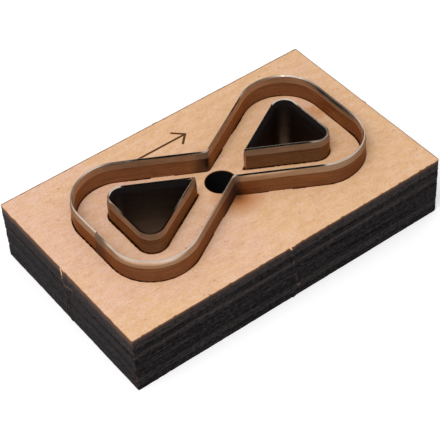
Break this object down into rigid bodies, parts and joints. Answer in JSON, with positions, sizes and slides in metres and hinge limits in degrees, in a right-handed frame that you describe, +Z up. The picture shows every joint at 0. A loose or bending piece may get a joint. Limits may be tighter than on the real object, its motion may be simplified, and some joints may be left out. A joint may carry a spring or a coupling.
{
  "type": "steel rule die",
  "caption": "Steel rule die: laser-cut plywood board with bevelled cutting rules pressed into its kerfs, for a bow-tie blank with triangular windows, and a push-out hole.",
  "frame": {"origin": "centre of the board's underside", "axes": "+X along the board's length, +Z up towards the cutting edges"},
  "size_m": [0.0922, 0.056, 0.0238],
  "materials": {
    "plywood": "bare sanded birch veneer, sides charred by the laser",
    "rule_steel": "dark rolled spring steel with a ground bevel and a honed edge"
  },
  "bodies": {
    "root": {"die_board": "plywood", "bow_rule": "rule_steel", "window_rule_left": "rule_steel", "window_rule_right": "rule_steel"}
  },
  "joints": []
}
